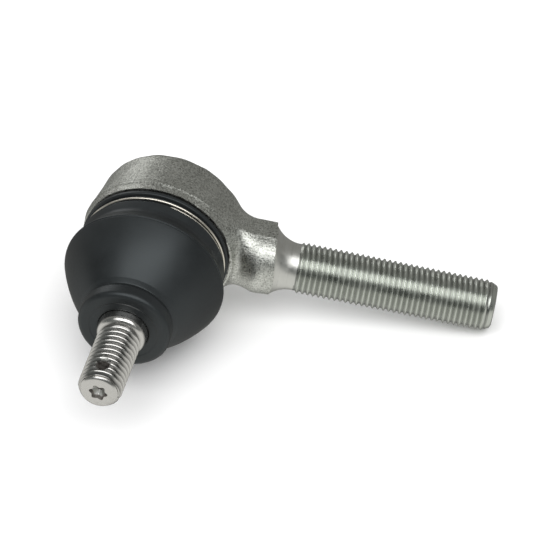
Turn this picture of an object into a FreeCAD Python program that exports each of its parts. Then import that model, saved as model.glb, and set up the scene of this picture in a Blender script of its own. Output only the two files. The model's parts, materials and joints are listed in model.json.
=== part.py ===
"""Tie rod end: a ball joint in a forged eye, with a threaded shank and a rubber dust boot.

Every piece is drawn in the joint's own axes, in millimetres: the origin is the centre of the ball,
Z runs along the stud towards its threaded tip, and X runs towards the shank. The shank leans away
from the stud, so its axis dips below X. At the end every piece gets one placement, which lays the
joint on its side: the stud is level and points along -Y, the boot and the shank's tip touch the
ground at Z = 0, and the origin is below the middle of the whole part.
"""
import FreeCAD, Part
import Sketcher
import math
import os
import re

from FreeCAD import Placement, Rotation, Vector

SHEET = "Dims"

# Millimetres, and degrees where a comment says so. "rad" is a radius and "plane" a height along Z.
DIMENSIONS = {
    # ball and bearing shells
    "ball_rad": 10.0,
    "ball_flat_plane": -8.0,
    "shell_sphere_rad": 10.05,
    "shell_rad": 14.1,
    "shell_split": 0.15,
    "shell_floor_plane": -10.1,
    "shell_hole_rad": 4.0,
    "front_shell_end": 4.4,
    # eye of the housing, turned round the stud's axis
    "back_plane": -14.4,
    "back_chamfer": 1.2,
    "back_rad": 18.8,
    "parting_plane": 0.5,
    "parting_rad": 20.9,
    "collar_plane": 3.2,
    "collar_rad": 20.6,
    "seat_rad": 17.6,
    "hook_plane": 8.6,
    "hook_rad": 18.5,
    "hook_chamfer": 0.5,
    "front_plane": 9.6,
    "mouth_rad": 13.0,
    "throat_rad": 11.0,
    "throat_plane": 6.8,
    "bore_rad": 14.2,
    "cone_plane": 3.6,
    "ledge_plane": -12.0,
    "cap_bore_rad": 16.4,
    "crimp_plane": -13.4,
    "crimp_rad": 15.4,
    # neck of the housing: four sections square to the shank's axis
    "shank_lean": 7.0,            # degrees
    "root_place": 11.0,
    "root_half": 13.5,
    "root_front": 5.0,
    "root_back": 10.0,
    "waist_place": 22.5,
    "waist_half": 9.6,
    "waist_front": 4.4,
    "waist_back": 9.0,
    "shoulder_place": 28.3,
    "shoulder_half": 9.5,
    "shoulder_front": 8.5,
    "shoulder_back": 9.0,
    "boss_place": 33.0,
    "boss_half": 9.5,
    "boss_front": 8.5,
    "boss_back": 9.0,
    "neck_draft": 1.2,
    "neck_corner": 3.0,
    # turned shank, along its own axis
    "shank_root": 25.0,
    "boss_face": 30.85,
    "sweep_end": 37.9,            # where the turned sweep meets the thread blank
    "sweep_rad": 8.5,
    "turning_rad": 20.0,
    "blank_rad": 6.4,
    "thread_start": 38.1,
    "thread_lead": 0.4,
    "shank_rad": 7.0,             # M14 x 1.5
    "thread_end": 89.9,
    "shank_tip_rad": 5.6,
    "shank_tip": 92.8,
    # ball stud
    "neck_rad": 6.0,
    "neck_end": 14.0,
    "taper_start": 17.5,
    "taper_big_rad": 7.9,
    "taper_small_rad": 6.75,      # 1:10 on diameter
    "taper_end": 40.5,
    "stud_thread_start": 41.3,
    "stud_rad": 6.0,              # M12 x 1.75
    "stud_thread_end": 61.3,
    "stud_tip_rad": 4.7,
    "stud_tip": 62.5,
    "cotter_rad": 1.75,
    "cotter_plane": 57.2,
    "cotter_turn": 9.5,           # degrees round the stud
    "socket_rad": 2.5,
    "socket_depth": 4.0,
    # closing parts behind the ball
    "rest_gap": 0.05,             # between two still pieces that lie against each other
    "plate_rad": 10.5,
    "plate_hole_rad": 3.0,
    "plate_back": -10.9,
    "spring_rad": 10.0,
    "spring_hole_rad": 4.5,
    "spring_metal": 0.5,
    "cap_rad": 16.3,
    "dish_rad": 7.5,
    "dish_depth": 0.5,
    "seal_centre_rad": 13.3,
    "seal_rad": 0.6,
    # dust boot
    "boot_top": 3.6,
    "boot_bead_rad": 20.4,
    "boot_seat_rad": 17.9,
    "groove_low": 4.95,
    "groove_high": 7.85,
    "groove_rad": 19.15,
    "groove_slope": 0.1,
    "relief_rad": 18.85,
    "relief_plane": 8.3,
    "relief_end": 9.95,
    "boot_waist_rad": 19.5,
    "boot_waist_plane": 11.2,
    "boot_waist_wall": 1.6,
    "ridge_rad": 22.2,
    "ridge_plane": 16.3,
    "boot_wall": 1.9,
    "dome_rad": 50.0,
    "dome_end_rad": 14.9,
    "dome_end_plane": 29.4,
    "boot_neck_rad": 11.9,
    "boot_neck_plane": 32.2,
    "boot_lip_rad": 12.8,
    "boot_lip_plane": 33.8,
    "boot_face_plane": 38.0,
    "boot_lip_round": 1.3,
    "boot_hole_rad": 7.5,
    # ring that stiffens the boot's lip, and the spring clip round its wide end
    "insert_low": 34.2,
    "insert_high": 36.4,
    "insert_in_rad": 7.6,
    "insert_out_rad": 9.2,
    "clip_wire_rad": 0.34,
    "clip_ring_rad": 19.55,
    "clip_start": 5.41,
    "clip_pitch": 1.33,
    "clip_height": 1.995,         # a turn and a half
    "clip_turn": -95.5,           # degrees round the stud, where the wire's lower end is
}

HEXAGON = [(math.cos(math.radians(60 * step)), math.sin(math.radians(60 * step))) for step in range(6)]


def make_sheet(doc):
    """One spreadsheet row for each driving dimension, with the dimension's name as its alias."""
    sheet = doc.addObject("Spreadsheet::Sheet", SHEET)
    for row, (alias, value) in enumerate(DIMENSIONS.items(), start=1):
        sheet.set(f"A{row}", alias)
        sheet.set(f"B{row}", str(value))
        sheet.setAlias(f"B{row}", alias)
    doc.recompute()
    return sheet


def number(sheet, text):
    """The value of an expression written with the dimensions' names."""
    return float(sheet.evalExpression(text))


def bound(text):
    """The same expression as another object has to write it, with each name led by the sheet's."""
    return re.sub(r"\b[a-z_]+\b(?!\()", lambda name: f"{SHEET}.{name.group(0)}", text)


def new_body(doc, label):
    body = doc.addObject("PartDesign::Body", label)
    body.Label = label
    return body


def new_sketch(body, name, role="XZ_Plane", offset=None):
    sketch = body.newObject("Sketcher::SketchObject", name)
    plane = next(item for item in body.Origin.OriginFeatures if item.Role == role)
    sketch.AttachmentSupport = (plane, [""])
    sketch.MapMode = "FlatFace"
    if offset is not None:
        sketch.AttachmentOffset = offset
    return sketch


def hold(sketch, sheet, edge, point, x, y):
    """Hold a point at two expressions, or on an axis where one of them is zero."""
    for kind, text, axis in (("DistanceX", x, -2), ("DistanceY", y, -1)):
        if text == "0":
            sketch.addConstraint(Sketcher.Constraint("PointOnObject", edge, point, axis))
            continue
        value = number(sheet, text)
        index = sketch.addConstraint(Sketcher.Constraint(kind, -1, 1, edge, point, value))
        sketch.setExpression(f"Constraints[{index}]", bound(text))


def arc_between(begin, end, radius, turn):
    """The short arc from begin to end: its centre is on the left where turn is 1."""
    chord = end - begin
    across = Vector(-chord.y, chord.x, 0).normalize() * turn
    rise = math.sqrt(radius**2 - (chord.Length / 2) ** 2)
    centre = (begin + end) * 0.5 + across * rise
    angles = [math.atan2(point.y - centre.y, point.x - centre.x) for point in (begin, end)]
    if turn < 0:
        angles.reverse()
    if angles[1] < angles[0]:
        angles[1] += 2 * math.pi
    return Part.ArcOfCircle(Part.Circle(centre, Vector(0, 0, 1), radius), *angles)


def draw(sketch, sheet, corners, arcs=None):
    """A closed outline through corners, each a pair of expressions.

    arcs maps a corner's index to (radius, turn): the edge that leaves that corner is an arc, which
    runs anticlockwise where turn is 1 and clockwise where it is -1.
    """
    arcs = arcs or {}
    points = [Vector(number(sheet, x), number(sheet, y), 0) for x, y in corners]
    ends = []
    for index, begin in enumerate(points):
        end = points[(index + 1) % len(points)]
        if index in arcs:
            radius, turn = arcs[index]
            sketch.addGeometry(arc_between(begin, end, number(sheet, radius), turn), False)
            ends.append((1, 2) if turn > 0 else (2, 1))
        else:
            sketch.addGeometry(Part.LineSegment(begin, end), False)
            ends.append((1, 2))
    for index in range(len(points)):
        following = (index + 1) % len(points)
        join = Sketcher.Constraint("Coincident", index, ends[index][1], following, ends[following][0])
        sketch.addConstraint(join)
    for index, (x, y) in enumerate(corners):
        hold(sketch, sheet, index, ends[index][0], x, y)
    for index, (radius, _) in arcs.items():
        size = sketch.addConstraint(Sketcher.Constraint("Radius", index, number(sheet, radius)))
        sketch.setExpression(f"Constraints[{size}]", bound(radius))


def draw_circle(sketch, sheet, x, y, radius):
    centre = Vector(number(sheet, x), number(sheet, y), 0)
    sketch.addGeometry(Part.Circle(centre, Vector(0, 0, 1), number(sheet, radius)), False)
    hold(sketch, sheet, 0, 3, x, y)
    size = sketch.addConstraint(Sketcher.Constraint("Radius", 0, number(sheet, radius)))
    sketch.setExpression(f"Constraints[{size}]", bound(radius))


def revolve(body, sketch, name, axis="V_Axis", cut=False):
    kind = "PartDesign::Groove" if cut else "PartDesign::Revolution"
    feature = body.newObject(kind, name)
    feature.Profile = sketch
    feature.ReferenceAxis = (sketch, [axis])
    feature.Angle = 360
    return feature


def turned_piece(doc, sheet, label, corners, arcs=None):
    """A body that is one outline turned round the stud's axis."""
    body = new_body(doc, label)
    sketch = new_sketch(body, f"{label}_outline")
    draw(sketch, sheet, corners, arcs)
    revolve(body, sketch, f"{label}_turned")
    return body


def neck_section(body, sheet, name):
    """One section of the neck: an arc towards the stud and a drafted back with rounded corners."""
    lean = math.radians(number(sheet, "shank_lean"))
    place = number(sheet, f"{name}_place")
    centre = Vector(0, -place * math.sin(lean), place * math.cos(lean))
    tilt = Rotation(Vector(1, 0, 0), number(sheet, "shank_lean"))
    sketch = new_sketch(body, f"{name}_section", "YZ_Plane", Placement(centre, tilt))
    half, front, back = (f"{name}_{side}" for side in ("half", "front", "back"))
    corners = [
        (half, "0"),
        (f"-{half}", "0"),
        (f"-({half} - neck_draft)", f"-({back} - neck_corner)"),
        (f"-({half} - neck_draft - neck_corner)", f"-{back}"),
        (f"{half} - neck_draft - neck_corner", f"-{back}"),
        (f"{half} - neck_draft", f"-({back} - neck_corner)"),
    ]
    front_arc = f"({half}^2 + {front}^2) / (2 * {front})"
    draw(sketch, sheet, corners, {0: (front_arc, 1), 2: ("neck_corner", 1), 4: ("neck_corner", 1)})
    return sketch


def make_housing(doc, sheet):
    """Forging with the eye, the neck and the shank, turned and bored where it has to fit."""
    body = new_body(doc, "housing")
    eye = new_sketch(body, "eye_outline")
    draw(eye, sheet, [
        ("0", "back_plane"),
        ("back_rad - back_chamfer", "back_plane"),
        ("back_rad", "back_plane + back_chamfer"),
        ("parting_rad", "parting_plane"),
        ("collar_rad", "collar_plane"),
        ("seat_rad", "collar_plane"),
        ("seat_rad", "hook_plane"),
        ("hook_rad", "hook_plane"),
        ("hook_rad", "front_plane - hook_chamfer"),
        ("hook_rad - hook_chamfer", "front_plane"),
        ("0", "front_plane"),
    ])
    revolve(body, eye, "eye")

    sections = [neck_section(body, sheet, name) for name in ("root", "waist", "shoulder", "boss")]
    neck = body.newObject("PartDesign::AdditiveLoft", "neck")
    neck.Profile = sections[0]
    neck.Sections = sections[1:]

    along_shank = Placement(Vector(0, 0, 0), Rotation(Vector(0, 0, 1), -number(sheet, "shank_lean")))
    turning = new_sketch(body, "turning_outline", offset=along_shank)
    face_dip = "sqrt(sweep_rad^2 - (sweep_end - boss_face)^2)"
    draw(turning, sheet, [
        ("boss_face", f"blank_rad + sweep_rad - {face_dip}"),
        ("sweep_end", "blank_rad"),
        ("sweep_end", "turning_rad"),
        ("boss_face", "turning_rad"),
    ], {0: ("sweep_rad", 1)})
    revolve(body, turning, "turned_face", axis="H_Axis", cut=True)

    shank = new_sketch(body, "shank_outline", offset=along_shank)
    sweep_dip = "sqrt(sweep_rad^2 - (sweep_end - boss_place)^2)"
    sweep_top = f"blank_rad + sweep_rad - {sweep_dip}"
    draw(shank, sheet, [
        ("shank_root", "0"),
        ("shank_tip", "0"),
        ("shank_tip", "shank_tip_rad"),
        ("thread_end", "shank_rad"),
        ("thread_start + thread_lead", "shank_rad"),
        ("thread_start", "blank_rad"),
        ("sweep_end", "blank_rad"),
        ("boss_place", sweep_top),
        ("shank_root", sweep_top),
    ], {6: ("sweep_rad", -1)})
    revolve(body, shank, "shank", axis="H_Axis")

    cavity = new_sketch(body, "cavity_outline")
    draw(cavity, sheet, [
        ("0", "back_plane"),
        ("crimp_rad", "back_plane"),
        ("crimp_rad", "crimp_plane"),
        ("cap_bore_rad", "crimp_plane"),
        ("cap_bore_rad", "ledge_plane"),
        ("bore_rad", "ledge_plane"),
        ("bore_rad", "cone_plane"),
        ("throat_rad", "throat_plane"),
        ("mouth_rad", "front_plane"),
        ("0", "front_plane"),
    ])
    revolve(body, cavity, "cavity", cut=True)
    return body


def make_ball_stud(doc, sheet):
    body = turned_piece(doc, sheet, "ball_stud", [
        ("0", "ball_flat_plane"),
        ("sqrt(ball_rad^2 - ball_flat_plane^2)", "ball_flat_plane"),
        ("neck_rad", "sqrt(ball_rad^2 - neck_rad^2)"),
        ("neck_rad", "neck_end"),
        ("taper_big_rad", "taper_start"),
        ("taper_small_rad", "taper_end"),
        ("stud_rad", "stud_thread_start"),
        ("stud_rad", "stud_thread_end"),
        ("stud_tip_rad", "stud_tip"),
        ("0", "stud_tip"),
    ], {1: ("ball_rad", 1)})
    doc.recompute()

    turn = Placement(Vector(0, 0, 0), Rotation(Vector(0, 1, 0), number(sheet, "cotter_turn")))
    hole = new_sketch(body, "cotter_outline", offset=turn)
    draw_circle(hole, sheet, "0", "cotter_plane", "cotter_rad")
    cotter = body.newObject("PartDesign::Pocket", "cotter_hole")
    cotter.Profile = hole
    cotter.Type = "ThroughAll"
    cotter.Midplane = True

    lift = Placement(Vector(0, 0, number(sheet, "stud_tip")), Rotation())
    flats = new_sketch(body, "socket_outline", "XY_Plane", lift)
    draw(flats, sheet, [(f"socket_rad * {x:.6f}", f"socket_rad * {y:.6f}") for x, y in HEXAGON])
    socket = body.newObject("PartDesign::Pocket", "drive_socket")
    socket.Profile = flats
    socket.setExpression("Length", bound("socket_depth"))
    return body


def make_front_shell(doc, sheet):
    return turned_piece(doc, sheet, "front_bearing_shell", [
        ("sqrt(shell_sphere_rad^2 - shell_split^2)", "shell_split"),
        ("shell_rad", "shell_split"),
        ("shell_rad", "cone_plane - rest_gap"),
        ("shell_rad + cone_plane - rest_gap - front_shell_end", "front_shell_end"),
        ("sqrt(shell_sphere_rad^2 - front_shell_end^2)", "front_shell_end"),
    ], {4: ("shell_sphere_rad", -1)})


def make_rear_shell(doc, sheet):
    return turned_piece(doc, sheet, "rear_bearing_shell", [
        ("shell_hole_rad", "shell_floor_plane"),
        ("shell_rad", "shell_floor_plane"),
        ("shell_rad", "-shell_split"),
        ("sqrt(shell_sphere_rad^2 - shell_split^2)", "-shell_split"),
        ("shell_hole_rad", "-sqrt(shell_sphere_rad^2 - shell_hole_rad^2)"),
    ], {3: ("shell_sphere_rad", -1)})


def make_pressure_plate(doc, sheet):
    return turned_piece(doc, sheet, "pressure_plate", [
        ("plate_hole_rad", "plate_back"),
        ("plate_rad", "plate_back"),
        ("plate_rad", "shell_floor_plane - rest_gap"),
        ("plate_hole_rad", "shell_floor_plane - rest_gap"),
    ])


def make_spring(doc, sheet):
    """Disc spring: its inner edge bears on the pressure plate and its outer edge on the cap."""
    return turned_piece(doc, sheet, "preload_spring", [
        ("spring_hole_rad", "plate_back - rest_gap - spring_metal"),
        ("spring_rad", "ledge_plane + rest_gap"),
        ("spring_rad", "ledge_plane + rest_gap + spring_metal"),
        ("spring_hole_rad", "plate_back - rest_gap"),
    ])


def make_end_cap(doc, sheet):
    """Pressed cap with a shallow dish, held by the crimped edge of the eye."""
    inside = "ledge_plane - rest_gap"
    outside = "crimp_plane + rest_gap"
    return turned_piece(doc, sheet, "end_cap", [
        ("0", f"{outside} - dish_depth"),
        ("dish_rad", f"{outside} - dish_depth"),
        ("dish_rad + dish_depth", outside),
        ("cap_rad", outside),
        ("cap_rad", inside),
        ("dish_rad + dish_depth", inside),
        ("dish_rad", f"{inside} - dish_depth"),
        ("0", f"{inside} - dish_depth"),
    ])


def make_seal(doc, sheet):
    body = new_body(doc, "cap_seal_ring")
    sketch = new_sketch(body, "seal_outline")
    draw_circle(sketch, sheet, "seal_centre_rad", "ledge_plane + seal_rad + rest_gap", "seal_rad")
    revolve(body, sketch, "seal_turned")
    return body


def make_dust_boot(doc, sheet):
    """Rubber boot: clamped bead, clip groove, waist, sharp ridge, dome, neck and lip."""
    return turned_piece(doc, sheet, "dust_boot", [
        ("boot_seat_rad", "boot_top"),
        ("boot_bead_rad", "boot_top"),
        ("boot_bead_rad", "groove_low"),
        ("groove_rad", "groove_low + groove_slope"),
        ("groove_rad", "groove_high - groove_slope"),
        ("boot_bead_rad", "groove_high"),
        ("boot_waist_rad", "boot_waist_plane"),
        ("ridge_rad", "ridge_plane"),
        ("dome_end_rad", "dome_end_plane"),
        ("boot_neck_rad", "boot_neck_plane"),
        ("boot_lip_rad", "boot_lip_plane"),
        ("boot_lip_rad", "boot_face_plane - boot_lip_round"),
        ("boot_lip_rad - boot_lip_round", "boot_face_plane"),
        ("boot_hole_rad", "boot_face_plane"),
        ("boot_hole_rad", "insert_high + rest_gap"),
        ("insert_out_rad + rest_gap", "insert_high + rest_gap"),
        ("insert_out_rad + rest_gap", "insert_low - rest_gap"),
        ("boot_hole_rad", "insert_low - rest_gap"),
        ("boot_hole_rad", "boot_neck_plane"),
        ("dome_end_rad - boot_wall", "dome_end_plane - boot_wall / 2"),
        ("ridge_rad - boot_wall", "ridge_plane"),
        ("boot_waist_rad - boot_waist_wall", "boot_waist_plane"),
        ("relief_rad", "relief_end"),
        ("relief_rad", "relief_plane"),
        ("boot_seat_rad", "relief_plane"),
    ], {7: ("dome_rad", 1)})


def make_lip_ring(doc, sheet):
    return turned_piece(doc, sheet, "boot_lip_ring", [
        ("insert_in_rad", "insert_low"),
        ("insert_out_rad", "insert_low"),
        ("insert_out_rad", "insert_high"),
        ("insert_in_rad", "insert_high"),
    ])


def make_clip_ring(doc, sheet):
    """Spring wire, wound once and a half round the boot's groove, with two free ends."""
    body = new_body(doc, "boot_clip_ring")
    turn = Placement(Vector(0, 0, 0), Rotation(Vector(0, 1, 0), number(sheet, "clip_turn")))
    sketch = new_sketch(body, "wire_section", offset=turn)
    draw_circle(sketch, sheet, "clip_ring_rad", "clip_start", "clip_wire_rad")
    coil = body.newObject("PartDesign::AdditiveHelix", "coil")
    coil.Profile = sketch
    coil.ReferenceAxis = (sketch, ["V_Axis"])
    coil.Mode = 0
    coil.setExpression("Pitch", bound("clip_pitch"))
    coil.setExpression("Height", bound("clip_height"))
    return body


def check(doc, pieces):
    """Stop if any feature failed, or if a piece isn't one valid solid."""
    for item in doc.Objects:
        if "Invalid" in item.State or "Error" in item.State:
            raise RuntimeError(f"{item.Label} failed: {item.State}")
    for piece in pieces:
        shape = piece.Shape
        if shape.isNull() or not shape.isValid() or len(shape.Solids) != 1:
            raise RuntimeError(f"{piece.Label} is not one valid solid")


def lying_turn(sheet):
    """The angle about the stud's axis, in degrees, that brings the shank's tip to the ground.

    The boot's ridge holds the ball at ridge_rad above the ground. The edge where the thread ends
    is thread_end along the shank and shank_rad off its axis.
    """
    along = number(sheet, "thread_end")
    off_axis = number(sheet, "shank_rad")
    reach = math.hypot(along, off_axis)
    dip = math.asin(number(sheet, "ridge_rad") / reach) - math.atan2(off_axis, along)
    lean = math.radians(number(sheet, "shank_lean"))
    return math.degrees(math.asin(math.sin(dip) / math.cos(lean)))


def lay_down(doc, sheet, pieces):
    """Give every piece the placement that lays the joint on the ground, centred over the origin."""
    turn = Rotation(Vector(0, 1, 0), lying_turn(sheet)) * Rotation(Vector(1, 0, 0), 90)
    for piece in pieces:
        piece.Placement = Placement(Vector(0, 0, 0), turn)
    doc.recompute()
    box = FreeCAD.BoundBox()
    for piece in pieces:
        box.add(piece.Shape.optimalBoundingBox(False))
    shift = Vector(-box.Center.x, -box.Center.y, -box.ZMin)
    for piece in pieces:
        piece.Placement = Placement(shift, turn)
    doc.recompute()


def main():
    doc = FreeCAD.newDocument("tie_rod_end")
    sheet = make_sheet(doc)
    makers = [
        make_housing, make_ball_stud, make_front_shell, make_rear_shell, make_pressure_plate,
        make_spring, make_end_cap, make_seal, make_dust_boot, make_lip_ring, make_clip_ring,
    ]
    pieces = [make(doc, sheet) for make in makers]
    doc.recompute()
    check(doc, pieces)
    lay_down(doc, sheet, pieces)
    check(doc, pieces)
    os.makedirs("parts", exist_ok=True)
    for piece in pieces:
        piece.Shape.exportStep(os.path.join("parts", f"{piece.Label}.step"))
        print(f"{piece.Label}: {piece.Shape.Volume:.1f} mm3")
    ball = pieces[0].Placement.Base
    print(f"ball centre: {ball.x:.4f} {ball.y:.4f} {ball.z:.4f}")


main()
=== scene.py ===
import json
import math

import bmesh
import bpy
import numpy as np
from mathutils import Matrix, Vector


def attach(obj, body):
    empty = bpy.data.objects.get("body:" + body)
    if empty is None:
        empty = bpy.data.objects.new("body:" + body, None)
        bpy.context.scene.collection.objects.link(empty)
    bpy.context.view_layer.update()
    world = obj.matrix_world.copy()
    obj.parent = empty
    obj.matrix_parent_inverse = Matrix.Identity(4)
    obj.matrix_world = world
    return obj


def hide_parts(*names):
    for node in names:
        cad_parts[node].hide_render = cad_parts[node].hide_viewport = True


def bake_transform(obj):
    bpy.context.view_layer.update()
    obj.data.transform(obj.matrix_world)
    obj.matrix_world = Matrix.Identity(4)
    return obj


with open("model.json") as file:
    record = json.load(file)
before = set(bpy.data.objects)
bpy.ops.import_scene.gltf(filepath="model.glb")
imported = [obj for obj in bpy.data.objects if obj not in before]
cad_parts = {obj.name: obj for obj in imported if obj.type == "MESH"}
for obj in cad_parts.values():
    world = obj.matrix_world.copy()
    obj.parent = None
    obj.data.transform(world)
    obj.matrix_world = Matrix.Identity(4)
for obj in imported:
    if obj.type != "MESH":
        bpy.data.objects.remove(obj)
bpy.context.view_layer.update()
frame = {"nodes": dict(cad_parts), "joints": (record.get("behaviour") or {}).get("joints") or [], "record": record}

MM = 0.001
MOUNTS = {mount["name"]: mount for mount in frame["record"]["mounts"]}
BALL = Vector(frame["joints"][0]["pos_m"])
STUD_AXIS = Vector(MOUNTS["stud_thread"]["axis"])
SHANK_AXIS = Vector(MOUNTS["shank_thread"]["axis"])
HOLE_AXIS = Vector(MOUNTS["cotter_pin_hole"]["axis"])
SIDE_AXIS = STUD_AXIS.cross(SHANK_AXIS).normalized()
REACH_AXIS = SIDE_AXIS.cross(STUD_AXIS)
LEAN = math.asin(-SHANK_AXIS.dot(STUD_AXIS))


def placement(x_axis, y_axis, z_axis):
    """Where axes that start at the ball's centre and point this way lie in the row frame."""
    turn = Matrix((x_axis, y_axis, z_axis)).transposed().to_4x4()
    return Matrix.Translation(BALL) @ turn


JOINT_PLACE = placement(REACH_AXIS, SIDE_AXIS, STUD_AXIS)
SHANK_PLACE = placement(SIDE_AXIS, SHANK_AXIS.cross(SIDE_AXIS), SHANK_AXIS)

# Eye of the forging, round the stud's axis: radii, and planes square to the axis
BACK_PLANE = -14.4
BACK_RAD = 18.8
BACK_ROUND = 2.6
PARTING_PLANE = 0.5
PARTING_RAD = 20.9
COLLAR_PLANE = 3.2
COLLAR_RAD = 20.6
FACED_RAD = COLLAR_RAD + 0.1
SEAT_RAD = 17.6
HOOK_RAD = 18.5
HOOK_PLANE = 8.6
FRONT_PLANE = 9.6
SEAT_PLANE = -2.0
# Bores of the eye: radius, from, to
CAP_MOUTH = (15.4, -40, -13.35)
CAP_SEAT = (16.4, -13.4, -12.0)
SHELL_BORE = (14.2, -12.05, 3.65)
THROAT_PLANES = [3.6, 6.8, 9.6]
THROAT_RADII = [14.2, 11.0, 13.0]
THROAT_END = 40
# Neck: place along the shank's axis, half width, height towards the stud and away from it
NECK_SECTIONS = [
    (9.0, 14.4, 5.2, 10.4), (13.0, 12.6, 5.1, 9.8), (18.4, 10.5, 4.9, 9.3), (21.6, 9.8, 4.4, 9.0),
    (24.8, 9.5, 6.8, 9.0), (27.4, 9.5, 8.5, 9.0), (31.0, 9.5, 8.4, 9.0), (36.0, 9.5, 8.3, 9.0)]
NECK_DRAFT = 0.17
NECK_CORNER = 3.4
NECK_FILLET = 6.0
NECK_START = 8.0
# The forging's skin: the parting line's ridge, which rises from the eye's plane to the shank's, and waves
RIDGE_HEIGHT = 0.13
RIDGE_WIDTH = 0.55
PARTING_RISE = (9, 22)
WAVE_HEIGHT = 0.05
# Turned end of the boss: a flat face, then a sweep down to the thread's blank
BOSS_FACE = 30.85
SWEEP_RAD = 8.5
SWEEP_END = 37.9
BLANK_RAD = 6.4
# The forging stops this far under its turned end, which the shank's piece shows
COVER_DEPTH = 0.05
# Faces of the housing this far under the forged skin were turned
TURNED_DEPTH = 0.09
# Where the forging is looked for, and the size of the cells
FORGING_LOW = (-22.3, -22.3, -15.6)
FORGING_HIGH = (37.6, 22.3, 10.6)
CELL = 0.33


def smooth_min(a, b, width):
    """The smaller of two distances, blended over width where they meet."""
    mix = np.clip(0.5 + 0.5 * (b - a) / width, 0, 1)
    return b + (a - b) * mix - width * mix * (1 - mix)


def smooth_max(a, b, width):
    """The larger of two distances, blended over width where they meet."""
    return -smooth_min(-a, -b, width)


def smooth_step(low, high, value):
    """0 below low, 1 above high, and a smooth rise between them."""
    part = np.clip((value - low) / (high - low), 0, 1)
    return part * part * (3 - 2 * part)


def through(knots, values, place):
    """A smooth curve through values at knots, read at place."""
    knots, values = np.array(knots), np.array(values)
    slopes = np.gradient(values, knots)
    place = np.clip(place, knots[0], knots[-1])
    first = np.clip(np.searchsorted(knots, place) - 1, 0, len(knots) - 2)
    gap = knots[first + 1] - knots[first]
    t = (place - knots[first]) / gap
    start = (1 + 2 * t) * values[first] + t * gap * slopes[first]
    end = (3 - 2 * t) * values[first + 1] + (t - 1) * gap * slopes[first + 1]
    return start * (1 - t) ** 2 + end * t**2


def along_shank(x, z):
    """Place along the shank's axis, and height over it on the stud's side."""
    return x * math.cos(LEAN) - z * math.sin(LEAN), x * math.sin(LEAN) + z * math.cos(LEAN)


def forged(x, y, z):
    """Signed distance to the forging as it leaves its die: eye, neck and boss with their parting line."""
    along, height = along_shank(x, z)
    r = np.hypot(x, y)
    side = r - PARTING_RAD
    below = (PARTING_RAD - BACK_RAD) / (PARTING_PLANE - BACK_PLANE)
    above = (PARTING_RAD - COLLAR_RAD) / (COLLAR_PLANE - PARTING_PLANE)
    side += below * np.maximum(PARTING_PLANE - z, 0) + above * np.maximum(z - PARTING_PLANE, 0)
    eye = np.maximum(smooth_max(side, BACK_PLANE - z, BACK_ROUND), z - COLLAR_PLANE)

    places = [section[0] for section in NECK_SECTIONS]
    half, front, back = (
        through(places, [section[k] for section in NECK_SECTIONS], along) for k in (1, 2, 3))
    top = np.maximum(height, 0)
    reach = np.maximum(np.hypot(y / half, top / front), 1e-6)
    share = np.clip((top / front) / reach, 0, 1) ** 2
    upper = (reach - 1) * (half * (1 - share) + front * share)
    lower = smooth_max(np.abs(y) - half - NECK_DRAFT * np.minimum(height, 0), -height - back, NECK_CORNER)
    neck = np.maximum(np.where(height > 0, upper, lower), NECK_START - along)
    body = smooth_min(eye, neck, NECK_FILLET)

    wave = np.sin(0.9 * x + 1.3) * np.sin(0.8 * y + 0.4) + np.sin(0.7 * z + 0.5 * x) * np.sin(0.6 * y - 1.1)
    parting = PARTING_PLANE + (z - height) * smooth_step(*PARTING_RISE, x)
    ridge = RIDGE_HEIGHT * np.exp(-((z - parting) / RIDGE_WIDTH) ** 2)
    return body - WAVE_HEIGHT * wave - ridge


def sweep_gap(along, radius):
    """How far a point is inside what was turned off the boss."""
    tool = SWEEP_RAD - np.hypot(along - SWEEP_END, radius - BLANK_RAD - SWEEP_RAD)
    return np.maximum(np.minimum(tool, along - BOSS_FACE), along - SWEEP_END)


def housing_field(x, y, z):
    """Signed distance to the finished forging, without the shank."""
    along, height = along_shank(x, z)
    r = np.hypot(x, y)

    def ring(radius, low, high):
        return np.minimum(radius - r, np.minimum(z - low, high - z))

    body = np.maximum(forged(x, y, z), np.minimum(FACED_RAD - r, z - COLLAR_PLANE))
    body = np.minimum(body, -ring(SEAT_RAD, SEAT_PLANE, FRONT_PLANE))
    body = np.minimum(body, -ring(HOOK_RAD, HOOK_PLANE, FRONT_PLANE))
    throat = (np.interp(z, THROAT_PLANES, THROAT_RADII), THROAT_PLANES[0], THROAT_END)
    for bore in (CAP_MOUTH, CAP_SEAT, SHELL_BORE, throat):
        body = np.maximum(body, ring(*bore))
    return np.maximum(body, sweep_gap(along, np.hypot(y, height)) + COVER_DEPTH)


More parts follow.
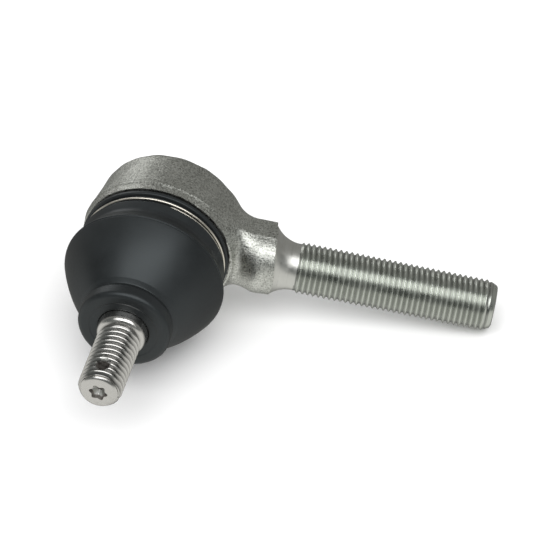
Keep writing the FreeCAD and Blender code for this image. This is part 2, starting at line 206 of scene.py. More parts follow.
def contour(field, low, high, step):
    """Vertices and quads of the surface where field is zero, with its sharp edges kept.

    Each cell that the surface crosses gets one vertex, where the planes at its crossed edges meet.
    probe is the distance over which normals are taken. hold keeps a vertex near the mean of its
    crossings where those planes don't fix it, and reach is how far it may go from there, in cells.
    """
    probe, hold, reach = 0.02, 0.06, 0.7
    axes = [np.arange(a, b, step) for a, b in zip(low, high)]
    value = field(*np.meshgrid(*axes, indexing="ij"))
    inside = value < 0
    cells = np.array(value.shape) - 1
    stride = np.array([cells[1] * cells[2], cells[2], 1])
    points, corners, flips = [], [], []
    for axis in range(3):
        lower = tuple(slice(0, -1) if k == axis else slice(1, -1) for k in range(3))
        upper = tuple(slice(1, None) if k == axis else slice(1, -1) for k in range(3))
        found = np.argwhere(inside[lower] != inside[upper])
        found += np.array([0 if k == axis else 1 for k in range(3)])
        near = value[tuple(found.T)]
        far_index = found.copy()
        far_index[:, axis] += 1
        far = value[tuple(far_index.T)]
        place = found.astype(float)
        place[:, axis] += near / (near - far)
        points.append(np.array(low) + step * place)
        one, two = np.zeros(3, int), np.zeros(3, int)
        one[(axis + 1) % 3] = 1
        two[(axis + 2) % 3] = 1
        around = [found - one - two, found - two, found, found - one]
        corners.append(np.stack([cell @ stride for cell in around], 1))
        flips.append(near > 0)
    points, corners, flips = np.concatenate(points), np.concatenate(corners), np.concatenate(flips)
    normal = np.stack([
        field(*(points + probe * unit).T) - field(*(points - probe * unit).T) for unit in np.eye(3)], 1)
    normal /= np.linalg.norm(normal, axis=1, keepdims=True) + 1e-12

    used, quads = np.unique(corners, return_inverse=True)
    quads = quads.reshape(corners.shape)
    edge = np.repeat(np.arange(len(points)), 4)
    cell = quads.ravel()

    def total(weights):
        return np.bincount(cell, weights[edge], len(used))

    count = np.bincount(cell, minlength=len(used)).astype(float)
    mean = np.stack([total(points[:, k]) for k in range(3)], 1) / count[:, None]
    flat = (normal * points).sum(1)
    square = np.empty((len(used), 3, 3))
    for a in range(3):
        for b in range(3):
            square[:, a, b] = total(normal[:, a] * normal[:, b])
    right = np.stack([total(normal[:, k] * flat) for k in range(3)], 1)
    right -= np.einsum("nab,nb->na", square, mean)
    square += hold * np.eye(3)
    shift = np.linalg.solve(square, right[:, :, None])[:, :, 0]
    verts = mean + np.clip(shift, -reach * step, reach * step)
    quads[flips] = quads[flips][:, ::-1]
    return verts, quads


MERGE_GAP = 0.002
SHORT_EDGE = 0.001


def new_piece(name, verts, faces, place, materials, sharp=35.0):
    """A smooth-shaded mesh object from vertices in millimetres. Edges over sharp degrees stay sharp."""
    mesh = bpy.data.meshes.new(name)
    mesh.from_pydata((np.asarray(verts) * MM).tolist(), [], np.asarray(faces).tolist())
    work = bmesh.new()
    work.from_mesh(mesh)
    bmesh.ops.remove_doubles(work, verts=work.verts, dist=MERGE_GAP * MM)
    bmesh.ops.dissolve_degenerate(work, edges=work.edges, dist=SHORT_EDGE * MM)
    work.to_mesh(mesh)
    work.free()
    mesh.shade_smooth()
    mesh.set_sharp_from_angle(angle=math.radians(sharp))
    for material in materials:
        mesh.materials.append(material)
    piece = bpy.data.objects.new(name, mesh)
    bpy.context.scene.collection.objects.link(piece)
    piece.matrix_world = place
    return piece


def apply_modifiers(piece):
    """Make the modified mesh the piece's own."""
    graph = bpy.context.evaluated_depsgraph_get()
    mesh = bpy.data.meshes.new_from_object(piece.evaluated_get(graph))
    piece.modifiers.clear()
    piece.data = mesh


# One pitch of a thread: (share of the pitch, share of the height)
THREAD_PROFILE = [
    (0.0, 0.0), (0.08, 0.03), (0.14, 0.13), (0.37, 0.83), (0.42, 0.95),
    (0.5, 1.0), (0.58, 0.95), (0.63, 0.83), (0.86, 0.13), (0.92, 0.03)]
# Turns of a thread past each of its ends, pressed flat there
SPARE_TURNS = 2


def bar(rings_before, thread, rings_after, columns):
    """Vertices and quads of a bar along Z: plain rings, a helical thread, plain rings.

    A ring is (place, radius), and either may differ from column to column. The first and the last
    have no radius. thread has start, end, pitch, crest and root, and limit(place, radius).
    """
    angle = np.arange(columns) * 2 * math.pi / columns
    full = np.ones(columns)
    knots = len(THREAD_PROFILE)
    turns = math.ceil((thread["end"] - thread["start"]) / thread["pitch"]) + 2 * SPARE_TURNS
    rows = [(place * full, radius * full) for place, radius in rings_before]
    first = len(rows)
    for turn in range(turns):
        for part, height in THREAD_PROFILE:
            place = thread["start"] + thread["pitch"] * (turn - SPARE_TURNS + part + angle / (2 * math.pi))
            place = np.clip(place, thread["start"], thread["end"])
            radius = thread["root"] + (thread["crest"] - thread["root"]) * height
            rows.append((place, thread["limit"](place, radius * full)))
    last = len(rows) - 1
    rows += [(place * full, radius * full) for place, radius in rings_after]
    place, radius = (np.array([row[k] for row in rows]) for k in (0, 1))
    verts = np.stack([radius * np.cos(angle), radius * np.sin(angle), place], 2).reshape(-1, 3)
    index = np.arange(len(rows) * columns).reshape(len(rows), columns)
    shift = np.arange(len(rows))
    shift[first:last + 1] = np.minimum(shift[first:last + 1] + knots, last)
    index = np.concatenate([index, index[shift, :1]], 1)
    quads = np.stack([index[:-1, :-1], index[:-1, 1:], index[1:, 1:], index[1:, :-1]], 2).reshape(-1, 4)
    return verts, quads


def lathe(outline, columns, closed):
    """Vertices and quads of an outline of (radius, place) turned round Z. closed joins its ends."""
    outline = np.array(outline)
    angle = np.arange(columns) * 2 * math.pi / columns
    radius, place = outline[:, :1], outline[:, 1:]
    verts = np.stack([radius * np.cos(angle), radius * np.sin(angle), place + 0 * angle], 2).reshape(-1, 3)
    index = np.arange(len(outline) * columns).reshape(len(outline), columns)
    index = np.concatenate([index, index[:, :1]], 1)
    if closed:
        index = np.concatenate([index, index[:1]])
    quads = np.stack([index[:-1, :-1], index[:-1, 1:], index[1:, 1:], index[1:, :-1]], 2).reshape(-1, 4)
    return verts, quads


# The largest share of a side that a rounded corner may take
MOST_CUT = 0.48


def rounded(outline, steps=6):
    """An outline of (radius, place, rounding) with an arc in place of each corner that has a rounding."""
    made = []
    count = len(outline)
    for k, (radius, place, size) in enumerate(outline):
        corner = np.array([radius, place], float)
        if size == 0:
            made.append(corner)
            continue
        back = np.array(outline[k - 1][:2], float) - corner
        ahead = np.array(outline[(k + 1) % count][:2], float) - corner
        back_length, ahead_length = np.linalg.norm(back), np.linalg.norm(ahead)
        back, ahead = back / back_length, ahead / ahead_length
        half_angle = math.acos(np.clip(back @ ahead, -1, 1)) / 2
        longest = MOST_CUT * min(back_length, ahead_length)
        cut = min(size / math.tan(half_angle), longest)
        radius_used = cut * math.tan(half_angle)
        middle = back + ahead
        centre = corner + middle / np.linalg.norm(middle) * radius_used / math.sin(half_angle)
        start, end = corner + back * cut - centre, corner + ahead * cut - centre
        span = math.acos(np.clip(start @ end / radius_used**2, -1, 1))
        for step in range(steps + 1):
            part = step / steps
            arm = start * math.sin((1 - part) * span) + end * math.sin(part * span)
            made.append(centre + arm / math.sin(span))
    return made


class Look:
    """A node material being put together. Distances in it are in metres."""

    def __init__(self, name, **sockets):
        self.material = bpy.data.materials.new(name)
        self.material.use_nodes = True
        self.tree = self.material.node_tree
        self.shader = self.tree.nodes["Principled BSDF"]
        for socket, value in sockets.items():
            self.set(self.shader, socket.replace("_", " "), value)

    def set(self, node, socket, value):
        """Link a socket to value, or write value into it."""
        if isinstance(value, bpy.types.NodeSocket):
            self.tree.links.new(value, node.inputs[socket])
        elif isinstance(value, tuple) and len(value) == 3 and node.inputs[socket].type == "RGBA":
            node.inputs[socket].default_value = (*value, 1)
        else:
            node.inputs[socket].default_value = value

    def add(self, kind, settings=None, **sockets):
        """A new node. Socket names have _ for a space."""
        node = self.tree.nodes.new(f"ShaderNode{kind}")
        for name, value in (settings or {}).items():
            setattr(node, name, value)
        for socket, value in sockets.items():
            self.set(node, socket.replace("_", " "), value)
        return node

    def place(self, stretch=(1, 1, 1)):
        """Coordinates on the object, scaled along each axis."""
        where = self.add("TexCoord").outputs["Object"]
        return self.add("Mapping", Vector=where, Scale=Vector(stretch)).outputs["Vector"]

    def noise(self, size, detail=2.0, rough=0.5, stretch=(1, 1, 1)):
        """Noise whose lumps are about size millimetres across."""
        scale = 1 / (size * MM)
        node = self.add("TexNoise", Vector=self.place(stretch), Scale=scale, Detail=detail, Roughness=rough)
        return node.outputs["Fac"]

    def cells(self, size):
        """Distance to the middle of the nearest of many cells, which are about size millimetres across."""
        node = self.add("TexVoronoi", Vector=self.place(), Scale=1 / (size * MM))
        return node.outputs["Distance"]

    def range(self, value, low, high, to_low, to_high):
        """Value stretched and clamped from one range to another."""
        sockets = {"Value": value, "From Min": low, "From Max": high, "To Min": to_low, "To Max": to_high}
        node = self.add("MapRange")
        for socket, number in sockets.items():
            self.set(node, socket, number)
        return node.outputs["Result"]

    def ramp(self, value, *stops):
        """A colour from value. Stops are (value, colour)."""
        node = self.add("ValToRGB", Fac=value)
        elements = node.color_ramp.elements
        while len(elements) < len(stops):
            elements.new(0.5)
        for element, (position, colour) in zip(elements, stops):
            element.position = position
            element.color = (*colour, 1)
        return node.outputs["Color"]

    def darken(self, colour, shade):
        """Colour times shade."""
        node = self.add("Mix", {"data_type": "RGBA", "blend_type": "MULTIPLY"})
        for index, value in ((0, 1.0), (6, colour), (7, shade)):
            self.set(node, index, value)
        return node.outputs[2]

    def calculate(self, operation, *values):
        """The result of one step of arithmetic."""
        node = self.add("Math", {"operation": operation})
        for index, value in enumerate(values):
            self.set(node, index, value)
        return node.outputs[0]

    def sum(self, one, two, weight):
        """One, plus weight times two."""
        return self.calculate("MULTIPLY_ADD", two, weight, one)

    def bump(self, height, depth):
        """Relief with depth in millimetres."""
        return self.add("Bump", Height=height, Distance=depth * MM).outputs["Normal"]

    def finish(self, colour, roughness, normal):
        self.set(self.shader, "Base Color", colour)
        self.set(self.shader, "Roughness", roughness)
        self.set(self.shader, "Normal", normal)
        return self.material


def cast_look():
    """Shot-blasted steel: small dark pits and light specks."""
    look = Look("shot_blasted_forging", Metallic=1.0)
    grain = look.noise(0.5, 4.0, 0.8)
    pits = look.cells(0.8)
    patches = look.noise(9.0, 3.0)
    colour = look.ramp(
        look.sum(grain, patches, 0.2), (0.47, (0.27, 0.275, 0.255)), (0.60, (0.49, 0.50, 0.465)),
        (0.76, (0.76, 0.765, 0.73)))
    roughness = look.range(grain, 0.38, 0.62, 0.24, 0.40)
    return look.finish(colour, roughness, look.bump(look.sum(grain, pits, 0.5), 0.1))


# How fast the rings of a turned piece change across its axis, against along it
RING_STRETCH = (0.02, 0.02, 1)
# Length over which the painted shade and dirt in a thread's roots end before the bar's end face
SHADE_AND_GRIME_FADE = 0.6
# Where a turned piece's mottling is darkest and lightest
DARK_AT, LIGHT_AT = 0.5, 1.1 / 1.4


def turned_look(name, light, dark, rough, lines, depth, roots=None):
    """Bright turned steel, with fine rings that follow the tool, and painted shade with some dirt in a thread's
    roots.

    roots is the radius where the painted shade and dirt are darkest, the radius where they end, their shade, and
    where the bar ends.
    """
    look = Look(name, Metallic=1.0)
    rings = look.noise(lines, 2.0, 0.6, RING_STRETCH)
    smears = look.noise(2.2, 3.0, 0.6)
    colour = look.ramp(look.sum(rings, smears, 0.7), (DARK_AT, dark), (LIGHT_AT, light))
    if roots:
        root, crest, root_shade_and_grime, end = roots
        flat = look.place((1, 1, 0))
        across = look.add("VectorMath", {"operation": "LENGTH"}, Vector=flat).outputs["Value"]
        along = look.add("SeparateXYZ", Vector=look.place()).outputs["Z"]
        # Painted shade, with some dirt: the colour darkens towards a thread's roots, but not at the bar's end face
        root_darkening = look.range(across, root * MM, crest * MM, root_shade_and_grime, 1.0)
        face = look.range(along, (end - SHADE_AND_GRIME_FADE) * MM, end * MM, 0.0, 1.0)
        colour = look.darken(colour, look.calculate("MAXIMUM", root_darkening, face))
    roughness = look.range(smears, 0.3, 0.7, rough - 0.06, rough + 0.1)
    return look.finish(colour, roughness, look.bump(look.sum(rings, smears, 0.25), depth))


def bore_look(name, light, dark):
    """Drilled or broached steel, darkened as painted shade inside holes, with a little oil and rust in it."""
    look = Look(name, Metallic=0.8)
    stain = look.noise(0.9, 3.0, 0.6)
    roughness = look.range(stain, 0.3, 0.7, 0.4, 0.65)
    return look.finish(look.ramp(stain, (0.35, dark), (0.7, light)), roughness, look.bump(stain, 0.03))


def rubber_look(name, dark, light, rough, depth):
    """Moulded rubber with a faint bloom."""
    look = Look(name, Specular_IOR_Level=0.5, Specular_Tint=(0.88, 0.97, 1.0))
    grain = look.noise(0.7, 3.0, 0.6)
    bloom = look.noise(12.0, 3.0)
    colour = look.ramp(look.sum(bloom, grain, 0.3), (0.5, dark), (0.9, light))
    roughness = look.range(look.sum(bloom, grain, 0.5), 0.4, 1.0, rough - 0.05, rough + 0.09)
    return look.finish(colour, roughness, look.bump(grain, depth))


def plastic_look():
    """White acetal."""
    look = Look("acetal")
    flow = look.noise(3.0, 2.0)
    colour = look.ramp(flow, (0.3, (0.80, 0.79, 0.74)), (0.7, (0.88, 0.87, 0.83)))
    return look.finish(colour, look.range(flow, 0.3, 0.7, 0.35, 0.5), look.bump(flow, 0.02))


# Turned materials have a light and a dark colour, a roughness, and the width and depth of their rings
CAST = cast_look()
TURNED = turned_look("turned_steel", (0.62, 0.62, 0.59), (0.50, 0.50, 0.475), 0.34, 0.35, 0.006)
# THREAD and STUD darken their thread roots: painted shade, with some dirt
THREAD = turned_look(
    "zinc_plated_thread", (0.54, 0.56, 0.52), (0.42, 0.44, 0.405), 0.28, 0.5, 0.002,
    roots=(6.38, 6.52, 0.45, 91.6))
STUD = turned_look(
    "rolled_stud_steel", (0.60, 0.59, 0.57), (0.44, 0.43, 0.41), 0.22, 0.4, 0.003,
    roots=(5.0, 5.85, 0.2, 61.2))
# Walls of holes and recesses are painted dark: painted shade, with oil and rust stains
SHADED_BORE = bore_look("drilled_steel_painted_shade", (0.34, 0.32, 0.30), (0.12, 0.11, 0.10))
WIRE = turned_look("spring_wire", (0.80, 0.76, 0.68), (0.62, 0.58, 0.50), 0.30, 0.6, 0.002)
PRESSED = turned_look("zinc_plated_pressing", (0.66, 0.665, 0.64), (0.50, 0.505, 0.48), 0.34, 1.5, 0.006)
RUBBER = rubber_look("boot_rubber", (0.0065, 0.0073, 0.008), (0.012, 0.0135, 0.0145), 0.40, 0.008)
SEAL = rubber_look("seal_rubber", (0.012, 0.012, 0.012), (0.024, 0.024, 0.024), 0.45, 0.01)
ACETAL = plastic_look()

# ------------------------------------------------------------------ forging
verts, quads = contour(housing_field, FORGING_LOW, FORGING_HIGH, CELL)
forging = new_piece("forging", verts, quads, JOINT_PLACE, [CAST, TURNED], sharp=50)
faces = len(forging.data.polygons)
centres = np.empty(faces * 3)
forging.data.polygons.foreach_get("center", centres)
x, y, z = centres.reshape(-1, 3).T / MM
forging.data.polygons.foreach_set("material_index", (forged(x, y, z) < -TURNED_DEPTH).astype(np.int32))
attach(forging, "housing")
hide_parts("housing")


# ------------------------------------------------------------------ shank
SHANK_COLUMNS = 120
SHANK_END = 92.8
SHANK_END_RAD = 5.2
# The thread grows out of its blank over a short way, and the end is chamfered
THREAD_START = 38.1
THREAD_FULL = 39.0
SHANK_CHAMFER = ([89.8, 91.6, 92.5, SHANK_END], [7.1, 6.3, 5.9, 5.5])
SHANK_THREAD = {"start": THREAD_START, "end": SHANK_END, "pitch": 1.5, "crest": 7.0, "root": 6.36}
# Faces of the shank before this place are the boss's turned end
PLATING_START = 38.2
SWEEP_STEPS = 16
EDGE_HALVINGS = 30
# The turned end starts as a plug inside the forging, and sinks into it at its edge: along it and inwards
PLUG_DEPTH = 2
PLUG_RAD = 4
EDGE_SINK = (0.5, 0.8)


def turned_place(radius):
    """Where along the shank the turned end of the boss has this radius."""
    return np.maximum(BOSS_FACE, SWEEP_END - np.sqrt(SWEEP_RAD**2 - (BLANK_RAD + SWEEP_RAD - radius) ** 2))


def turned_edge(columns):
    """For each angle round the shank, the radius at which the forging's outside cuts its turned end."""
    angle = np.arange(columns) * 2 * math.pi / columns
    low, high = np.full(columns, BLANK_RAD), np.full(columns, BLANK_RAD + SWEEP_RAD)
    for _ in range(EDGE_HALVINGS):
        radius = (low + high) / 2
        along, up = turned_place(radius), radius * np.sin(angle)
        x = along * math.cos(LEAN) + up * math.sin(LEAN)
        z = up * math.cos(LEAN) - along * math.sin(LEAN)
        outside = forged(x, radius * np.cos(angle), z) > 0
        low, high = np.where(outside, low, radius), np.where(outside, radius, high)
    return low


def shank_limit(place, radius):
    """The thread's radius, less where it starts and where the end is chamfered."""
    radius = BLANK_RAD + (radius - BLANK_RAD) * smooth_step(THREAD_START, THREAD_FULL, place)
    return np.minimum(radius, np.interp(place, *SHANK_CHAMFER))


# From the plug, the turned end comes out at the edge, crosses the flat face where the edge lies on it, and
# follows the sweep down to the blank
edge = turned_edge(SHANK_COLUMNS)
face_rad = BLANK_RAD + SWEEP_RAD - math.sqrt(SWEEP_RAD**2 - (SWEEP_END - BOSS_FACE) ** 2)
bend = np.minimum(edge, face_rad)
rings = [(BOSS_FACE - PLUG_DEPTH, 0), (BOSS_FACE - PLUG_DEPTH, PLUG_RAD)]
rings.append((turned_place(edge) - EDGE_SINK[0], edge - EDGE_SINK[1]))
rings += [(turned_place(radius), radius) for radius in (edge, (edge + bend) / 2)]
for step in range(SWEEP_STEPS + 1):
    tool = np.arcsin(1 - (bend - BLANK_RAD) / SWEEP_RAD)
    tool = tool + (math.pi / 2 - tool) * step / SWEEP_STEPS
    rings.append((SWEEP_END - SWEEP_RAD * np.cos(tool), BLANK_RAD + SWEEP_RAD * (1 - np.sin(tool))))
tip = [(SHANK_END, SHANK_END_RAD), (SHANK_END, 0)]
verts, quads = bar(rings, {**SHANK_THREAD, "limit": shank_limit}, tip, SHANK_COLUMNS)
shank = new_piece("shank", verts, quads, SHANK_PLACE, [THREAD, TURNED], sharp=60)
for face in shank.data.polygons:
    face.material_index = int(face.center.z < PLATING_START * MM)
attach(shank, "housing")
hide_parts("housing")


# ------------------------------------------------------------------ ball stud
STUD_COLUMNS = 96
BALL_RAD = 10.0
BALL_FLAT = -8.0
BALL_FLAT_RAD = 5.6
BALL_NECK_RAD = 6.0
BALL_STEPS = 24
# Place and radius of the neck, of the taper with its rounded ends, and of the step down to the thread
STUD_NECK = [
    (8.3, 5.95), (14.0, 6.0), (17.2, 7.75), (17.5, 7.9), (17.9, 7.88), (39.3, 6.81), (39.8, 6.72),
    (40.3, 6.5), (40.6, 6.2), (40.8, 5.8), (41.0, 5.4), (41.3, 5.3)]
STUD_TIP = [(61.9, 5.2), (62.2, 4.95), (62.4, 4.6), (62.49, 4.1), (62.5, 3.4), (62.5, 0)]
STUD_THREAD_START = 41.4
STUD_THREAD_FULL = 42.2
STUD_BLANK_RAD = 5.4
STUD_CHAMFER = ([60.3, 61.2, 61.6], [6.1, 5.7, 5.4])
STUD_THREAD = {"start": STUD_THREAD_START, "end": 61.6, "pitch": 1.75, "crest": 6.0, "root": 4.95}
# Cotter pin hole: half of its outline of (radius, place), and where its bright rim starts; inside the rim the bore
# is dark with painted shade
HOLE_RIM = [(1.75, 4.9), (1.85, 5.25), (2.1, 5.6), (2.7, 6.2), (5.3, 9), (0, 9)]
HOLE_RIM_START = 4.9
HOLE_COLUMNS = 48
# Drive socket: outline of (share of the radius, place), six lobes, and where its bright cone lies; the rest of the
# socket is dark with painted shade
SOCKET_OUTLINE = [(0, 59.8), (0.4, 60.3), (0.9, 61.35), (1, 61.5), (1, 62.2), (1.1, 62.8), (0, 62.8)]
SOCKET_RAD = 2.15
SOCKET_LOBES = 6
LOBE_HEIGHT = 0.3
SOCKET_CONE = (60.6, 61.4)
SOCKET_COLUMNS = 72


def stud_limit(place, radius):
    """The thread's radius, less where it starts and where the end is chamfered."""
    grown = smooth_step(STUD_THREAD_START, STUD_THREAD_FULL, place)
    radius = STUD_BLANK_RAD + (radius - STUD_BLANK_RAD) * grown
    return np.minimum(radius, np.interp(place, *STUD_CHAMFER))


def cut_out(piece, name, shape, place, is_bright):
    """Cut a closed shape out of a piece. Its walls are bright where is_bright(place along its axis), and darkened
    with painted shade elsewhere.
    """
    tool = new_piece(name, *shape, place, [SHADED_BORE, TURNED])
    for face in tool.data.polygons:
        face.material_index = int(is_bright(face.center.z / MM))
    cut = piece.modifiers.new(name, "BOOLEAN")
    cut.object = tool
    cut.solver = "EXACT"
    cut.material_mode = "TRANSFER"
    apply_modifiers(piece)
    bpy.data.objects.remove(tool)


# Angles from the stud's axis where the ball starts, at its flat, and ends, at the stud's neck
first, last = math.acos(BALL_FLAT / BALL_RAD), math.asin(BALL_NECK_RAD / BALL_RAD)
rings = [(BALL_FLAT, 0), (BALL_FLAT, BALL_FLAT_RAD)]
for step in range(BALL_STEPS + 1):
    polar = first + (last - first) * step / BALL_STEPS
    rings.append((BALL_RAD * math.cos(polar), BALL_RAD * math.sin(polar)))
rings += STUD_NECK
verts, quads = bar(rings, {**STUD_THREAD, "limit": stud_limit}, STUD_TIP, STUD_COLUMNS)
stud = new_piece("threaded_stud", verts, quads, JOINT_PLACE, [STUD, SHADED_BORE])

hole_centre = Vector(MOUNTS["cotter_pin_hole"]["pos_m"])
turn = Matrix((STUD_AXIS, HOLE_AXIS.cross(STUD_AXIS), HOLE_AXIS)).transposed().to_4x4()
hole_outline = [(radius, -place) for radius, place in reversed(HOLE_RIM)] + HOLE_RIM
cut_out(
    stud, "cotter_cut", lathe(hole_outline, HOLE_COLUMNS, False), Matrix.Translation(hole_centre) @ turn,
    lambda along: abs(along) > HOLE_RIM_START)

verts, quads = lathe(SOCKET_OUTLINE, SOCKET_COLUMNS, False)
angle = np.arctan2(verts[:, 1], verts[:, 0])
verts[:, :2] *= (SOCKET_RAD + LOBE_HEIGHT * np.cos(SOCKET_LOBES * angle))[:, None]
cut_out(
    stud, "socket_cut", (verts, quads), JOINT_PLACE,
    lambda along: SOCKET_CONE[0] < along < SOCKET_CONE[1])
stud.data.set_sharp_from_angle(angle=math.radians(35))
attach(stud, "stud")
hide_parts("ball_stud")


# ------------------------------------------------------------------ dust boot
def arc_points(start, end, radius, count):
    """Points inside an arc that bulges away from the axis, as (radius, place, no rounding)."""
    start, end = np.array(start), np.array(end)
    chord = end - start
    length = np.linalg.norm(chord)
    left = np.array([-chord[1], chord[0]]) / length
    centre = (start + end) / 2 + left * math.sqrt(radius**2 - length**2 / 4)
    first, last = (math.atan2(*(point - centre)[::-1]) for point in (start, end))
    angles = np.linspace(first, last, count + 2)[1:-1]
    return [(centre[0] + radius * math.cos(a), centre[1] + radius * math.sin(a), 0) for a in angles]


# (radius, place, rounding) of each corner, from the bead outwards and over the dome to the lip, then back
# along the inside
DOME_START = (22.08, 16.6)
DOME_END = (13.5, 31.4)
DOME_RAD = 50.0
DOME_POINTS = 16
BEAD = [
    (17.9, 3.6, 0), (20.4, 3.6, 0.5), (20.4, 4.95, 0.4), (19.15, 5.05, 0.3), (19.15, 7.75, 0.3),
    (20.4, 7.85, 0.3), (19.5, 11.2, 3.0)]
MOULDED_EDGE = [(22.15, 15.9, 0.12), (22.15, 16.15, 0.1), (21.9, 16.35, 0.15), (*DOME_START, 0.2)]
LIP = [
    (*DOME_END, 0.6), (12.1, 32.5, 0.5), (12.8, 33.6, 0.8), (12.8, 37.6, 1.5), (9.6, 37.6, 0.4),
    (9.2, 37.45, 0.3), (6.98, 37.45, 0.4), (6.98, 36.6, 0), (7.5, 36.45, 0)]
LIP_RING_SEAT = [(9.25, 36.45, 0), (9.25, 34.15, 0), (7.5, 34.15, 0)]
INSIDE = [
    (7.5, 32.2, 0), (13.0, 28.45, 0), (20.3, 16.3, 1.0), (17.9, 11.2, 1.0), (18.85, 9.95, 0),
    (18.85, 8.3, 0), (17.9, 8.3, 0)]
BOOT_COLUMNS = 144

dome = arc_points(DOME_START, DOME_END, DOME_RAD, DOME_POINTS)
outline = [*BEAD, *MOULDED_EDGE, *dome, *LIP, *LIP_RING_SEAT, *INSIDE]
verts, quads = lathe(rounded(outline), BOOT_COLUMNS, True)
boot = new_piece("rubber_boot", verts, quads, JOINT_PLACE, [RUBBER], sharp=30)
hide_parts("dust_boot")
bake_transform(boot)


# ------------------------------------------------------------------ clip
CLIP_RAD = 19.6
CLIP_WIRE_RAD = 0.34
CLIP_START = 5.41
CLIP_PITCH = 1.33
CLIP_TURNS = 1.5
CLIP_FIRST = math.radians(-95.5)
# Steps of the winding over which an end of the wire rounds off
END_STEPS = 1.5


def coil(radius, wire, start, pitch, turns, first, sides=12, steps=260):
    """Vertices and quads of a wire wound round Z, with rounded ends."""
    rows = []
    for step in range(steps + 1):
        share = step / steps
        angle = first + 2 * math.pi * turns * share
        end = min(step, steps - step) / END_STEPS
        size = wire * math.sqrt(max(0.0, 1 - max(0.0, 1 - end) ** 2)) if end < 1 else wire
        place = start + pitch * turns * share
        for side in range(sides):
            across = 2 * math.pi * side / sides
            out = radius + size * math.cos(across)
            rows.append((out * math.cos(angle), out * math.sin(angle), place + size * math.sin(across)))
    index = np.arange((steps + 1) * sides).reshape(steps + 1, sides)
    index = np.concatenate([index, index[:, :1]], 1)
    quads = np.stack([index[:-1, :-1], index[1:, :-1], index[1:, 1:], index[:-1, 1:]], 2).reshape(-1, 4)
    return np.array(rows), quads


verts, quads = coil(CLIP_RAD, CLIP_WIRE_RAD, CLIP_START, CLIP_PITCH, CLIP_TURNS, CLIP_FIRST)
clip = new_piece("clip_wire", verts, quads, JOINT_PLACE, [WIRE])
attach(clip, "housing")
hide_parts("boot_clip_ring")

# ------------------------------------------------------------------ pieces kept from the frame
KEPT_NODES = {
    "front_bearing_shell": ACETAL, "rear_bearing_shell": ACETAL, "pressure_plate": PRESSED,
    "preload_spring": WIRE, "end_cap": PRESSED, "cap_seal_ring": SEAL, "boot_lip_ring": PRESSED}
for node, material in KEPT_NODES.items():
    for holder in frame["nodes"][node].material_slots:
        holder.material = material


# ------------------------------------------------------------------ floor, light and camera
def floor_look():
    """Matt, nearly even white."""
    look = Look("studio_floor")
    shade = look.noise(300.0, 1.0)
    colour = look.ramp(shade, (0.0, (0.93, 0.93, 0.93)), (1.0, (0.96, 0.96, 0.96)))
    return look.finish(colour, look.range(shade, 0, 1, 0.8, 0.9), look.bump(shade, 0.01))


FLOOR_HALF = 3.0
corners = [(-1, -1), (1, -1), (1, 1), (-1, 1)]
mesh = bpy.data.meshes.new("floor")
mesh.from_pydata([(x * FLOOR_HALF, y * FLOOR_HALF, 0) for x, y in corners], [], [(0, 1, 2, 3)])
mesh.materials.append(floor_look())
floor = bpy.data.objects.new("floor", mesh)
bpy.context.scene.collection.objects.link(floor)
floor.visible_glossy = False

# What metal and rubber reflect: a bright floor below the horizon, a dark room above it, and a dim wall
# behind the part. Everything else is lit by an even pale sky.
BELOW_HORIZON = (0.46, (0.85, 0.85, 0.82))
ABOVE_HORIZON = (0.54, (0.14, 0.15, 0.145))
BACK_WALL = (0.27, 0.27, 0.258)
BACK_WALL_FADE = (-0.1, 0.3)
SKY = (0.75, 0.75, 0.75)


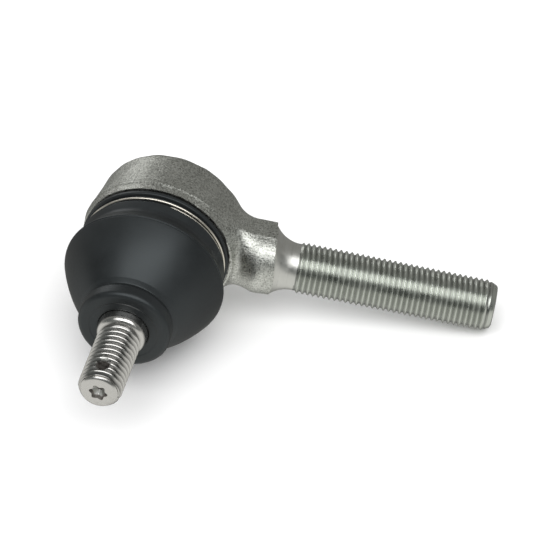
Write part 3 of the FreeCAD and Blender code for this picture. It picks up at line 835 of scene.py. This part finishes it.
def studio_world():
    """The world's light. It is one thing to a reflection and another to the rest."""
    world = bpy.data.worlds.new("studio")
    world.use_nodes = True
    tree = world.node_tree

    def stretched(value, low, high):
        node = tree.nodes.new("ShaderNodeMapRange")
        node.inputs["From Min"].default_value = low
        node.inputs["From Max"].default_value = high
        tree.links.new(value, node.inputs["Value"])
        return node.outputs["Result"]

    def mixed(share, one, two):
        node = tree.nodes.new("ShaderNodeMix")
        node.data_type = "RGBA"
        for index, value in ((0, share), (6, one), (7, two)):
            if isinstance(value, tuple):
                node.inputs[index].default_value = (*value, 1)
            else:
                tree.links.new(value, node.inputs[index])
        return node.outputs[2]

    where = tree.nodes.new("ShaderNodeTexCoord").outputs["Generated"]
    split = tree.nodes.new("ShaderNodeSeparateXYZ")
    tree.links.new(where, split.inputs["Vector"])
    tint = tree.nodes.new("ShaderNodeValToRGB")
    tree.links.new(stretched(split.outputs["Z"], -1, 1), tint.inputs["Fac"])
    for element, (position, colour) in zip(tint.color_ramp.elements, (BELOW_HORIZON, ABOVE_HORIZON)):
        element.position = position
        element.color = (*colour, 1)
    behind = stretched(split.outputs["Y"], *BACK_WALL_FADE)
    reflected = mixed(behind, tint.outputs["Color"], BACK_WALL)
    is_reflection = tree.nodes.new("ShaderNodeLightPath").outputs["Is Glossy Ray"]
    tree.links.new(mixed(is_reflection, SKY, reflected), tree.nodes["Background"].inputs["Color"])
    return world


bpy.context.scene.world = studio_world()
bpy.context.scene.view_settings.view_transform = "Standard"
LIGHT_TARGET = Vector((0, 0, 0.02))


def soft_box(name, place, size, watts):
    """A rectangular light that faces the middle of the part."""
    light = bpy.data.lights.new(name, "AREA")
    light.shape = "RECTANGLE"
    light.size, light.size_y = size
    light.energy = watts
    holder = bpy.data.objects.new(name, light)
    holder.location = place
    holder.rotation_euler = (LIGHT_TARGET - Vector(place)).to_track_quat("-Z", "Y").to_euler()
    bpy.context.scene.collection.objects.link(holder)


# Places and sizes in metres, power in watts
soft_box("key", (0.12, -0.40, 0.86), (1.4, 0.7), 8.8)
soft_box("left", (-0.60, 0.70, 0.36), (0.4, 0.4), 0.9)

CAMERA_TURN = math.radians(14.4)
CAMERA_RISE = math.radians(42.0)
CAMERA_ROLL = math.radians(-0.7)
CAMERA_DISTANCE = 1.3587
CAMERA_LENS = 327.3
CAMERA_SENSOR = 36
# How far right of the view's middle and above it the ball's centre is, in metres
BALL_IN_VIEW = (-0.03144, 0.009728)
right = Vector((math.cos(CAMERA_TURN), math.sin(CAMERA_TURN), 0))
level = math.cos(CAMERA_RISE)
away = Vector((math.sin(CAMERA_TURN) * level, -math.cos(CAMERA_TURN) * level, math.sin(CAMERA_RISE)))
roll = Matrix.Rotation(CAMERA_ROLL, 3, away)
right = roll @ right
up = away.cross(right)
lens = bpy.data.cameras.new("camera")
lens.lens = CAMERA_LENS
lens.sensor_width = CAMERA_SENSOR
camera = bpy.data.objects.new("camera", lens)
bpy.context.scene.collection.objects.link(camera)
turn = Matrix((right, up, away)).transposed().to_4x4()
middle = BALL - right * BALL_IN_VIEW[0] - up * BALL_IN_VIEW[1]
camera.matrix_world = Matrix.Translation(middle + away * CAMERA_DISTANCE) @ turn
bpy.context.scene.camera = camera
